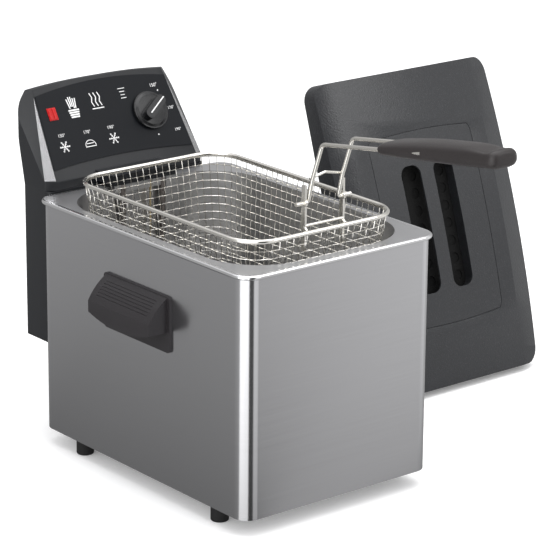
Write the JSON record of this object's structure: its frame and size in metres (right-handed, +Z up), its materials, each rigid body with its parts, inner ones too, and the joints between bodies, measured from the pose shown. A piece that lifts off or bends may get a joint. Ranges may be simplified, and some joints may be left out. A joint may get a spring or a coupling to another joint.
{
  "type": "deep fryer",
  "caption": "Tabletop deep fryer in brushed steel with a lift-out tank and rear control unit, a wire basket with a folding handle, and a black lid standing beside it.",
  "frame": {"origin": "middle of the casing's outline, on the plane of the four feet", "axes": "+Z up; -Y to the front, the side where the basket's handle points; +X to the right of someone facing the front, towards the lid"},
  "size_m": [0.611, 0.6378, 0.4212],
  "materials": {
    "brushed_steel": "fine level brushing",
    "tank_steel": "drawn steel, satin",
    "foot_rubber": "matte",
    "screw_steel": "bright",
    "black_plastic": "satin black",
    "lid_plastic": "fine speckled texture",
    "grip_plastic": "fine grain",
    "panel_plastic": "satin",
    "knob_plastic": "satin",
    "lens_red": "clear red",
    "red_plastic": "gloss",
    "lamp_glass": "clear",
    "ceramic": "matte",
    "probe_brass": "satin",
    "element_steel": "heat-darkened",
    "chrome_wire": "bright",
    "seal_rubber": "matte",
    "filter_fabric": "felt"
  },
  "bodies": {
    "fryer_body": {"casing": "brushed_steel", "base_plate": "brushed_steel", "feet": "foot_rubber", "foot_screws": "screw_steel", "side_handle_left": "black_plastic", "side_handle_right": "black_plastic", "handle_screws": "screw_steel"},
    "tank": {"tank": "tank_steel"},
    "control_unit": {"rear_housing": "black_plastic", "console_cover": "black_plastic", "control_panel": "panel_plastic", "housing_screws": "screw_steel", "thermostat_body": "ceramic", "thermostat_probe": "probe_brass", "pilot_lens": "lens_red", "pilot_lamp": "lamp_glass", "heating_element": "element_steel", "element_bracket": "tank_steel", "safety_cutout": "ceramic", "interlock_switch": "black_plastic", "terminal_block": "ceramic", "cord_gland": "black_plastic"},
    "knob": {"knob": "knob_plastic", "thermostat_shaft": "screw_steel"},
    "reset_button": {"reset_button": "red_plastic"},
    "interlock_plunger": {"interlock_plunger": "red_plastic"},
    "basket": {"basket_rim": "chrome_wire", "basket_frame": "chrome_wire", "basket_mesh": "chrome_wire", "basket_bracket": "chrome_wire"},
    "basket_handle": {"handle_wire": "chrome_wire", "handle_stop": "chrome_wire", "grip": "grip_plastic"},
    "lid": {"lid_shell": "lid_plastic", "lid_inner_plate": "tank_steel", "lid_seal": "seal_rubber", "lid_screws": "screw_steel"},
    "filter_cover": {"filter_cover": "lid_plastic", "grease_filter": "filter_fabric"}
  },
  "joints": [
    {"name": "tank_lift", "type": "slide", "parent": "fryer_body", "child": "tank", "axis": [0, 0, 1], "range_m": [0, 0.26]},
    {"name": "control_lift", "type": "slide", "parent": "tank", "child": "control_unit", "axis": [0, 0, 1], "range_m": [0, 0.22]},
    {"name": "knob_turn", "type": "hinge", "parent": "control_unit", "child": "knob", "pos_m": [0.05, 0.21054, 0.3268], "axis": [0, -0.8536, 0.521], "range_deg": [-230, 13]},
    {"name": "reset_press", "type": "slide", "parent": "control_unit", "child": "reset_button", "axis": [0, -1, 0], "range_m": [0, 0.0015], "stiffness_N_per_m": 300},
    {"name": "interlock_press", "type": "slide", "parent": "control_unit", "child": "interlock_plunger", "axis": [0, 0, 1], "range_m": [0, 0.0015], "stiffness_N_per_m": 150},
    {"name": "basket_lift", "type": "slide", "parent": "control_unit", "child": "basket", "axis": [0, 0, 1], "range_m": [-0.075, 0.25]},
    {"name": "handle_fold", "type": "hinge", "parent": "basket", "child": "basket_handle", "pos_m": [0, -0.141, 0.317], "axis": [-1, 0, 0], "range_deg": [0, 180]},
    {"name": "lid_lift", "type": "slide", "parent": "fryer_body", "child": "lid", "axis": [0, 0, 1], "range_m": [0, 0.3]},
    {"name": "filter_release", "type": "slide", "parent": "lid", "child": "filter_cover", "axis": [0, -0.9511, 0.309], "range_m": [0, 0.06]}
  ]
}
